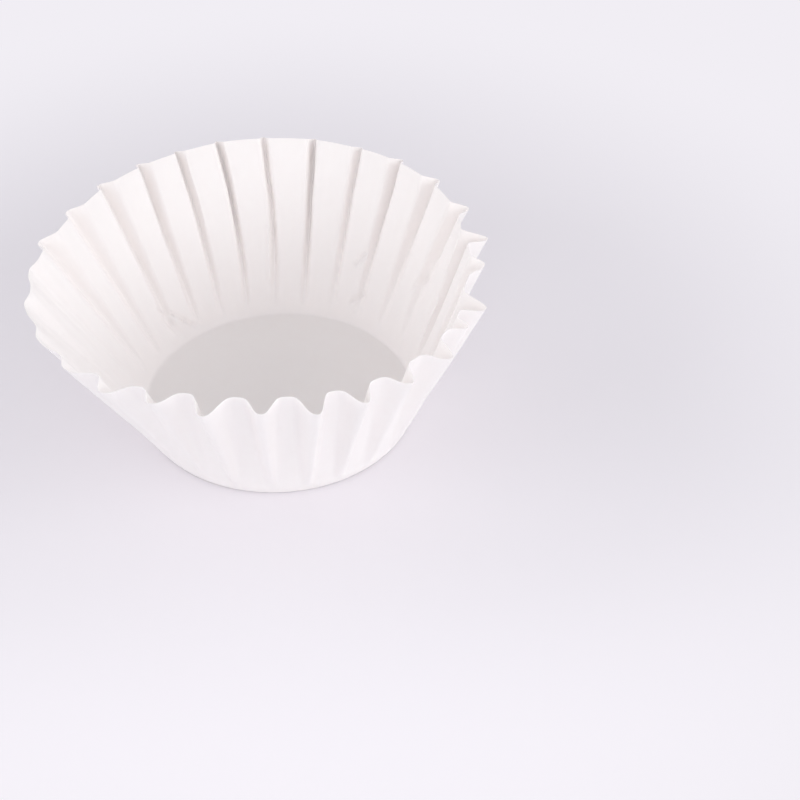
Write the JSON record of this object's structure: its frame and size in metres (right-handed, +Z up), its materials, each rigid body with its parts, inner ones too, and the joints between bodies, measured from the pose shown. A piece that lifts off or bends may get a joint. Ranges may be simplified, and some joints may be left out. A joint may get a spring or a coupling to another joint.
{
  "type": "paper coffee filter",
  "caption": "Flat-bottomed basket coffee filter: one disc of creped white paper pressed into a flat base and a fluted, flaring wall.",
  "frame": {"origin": "centre of the flat base's underside, on the surface that the filter stands on", "axes": "+Z up out of the open mouth, +X to the right as the picture looks at it"},
  "size_m": [0.1744, 0.1763, 0.069],
  "materials": {
    "filter_paper": "creped, uncoated, matt"
  },
  "bodies": {
    "root": {"filter_paper": "filter_paper"}
  },
  "joints": []
}
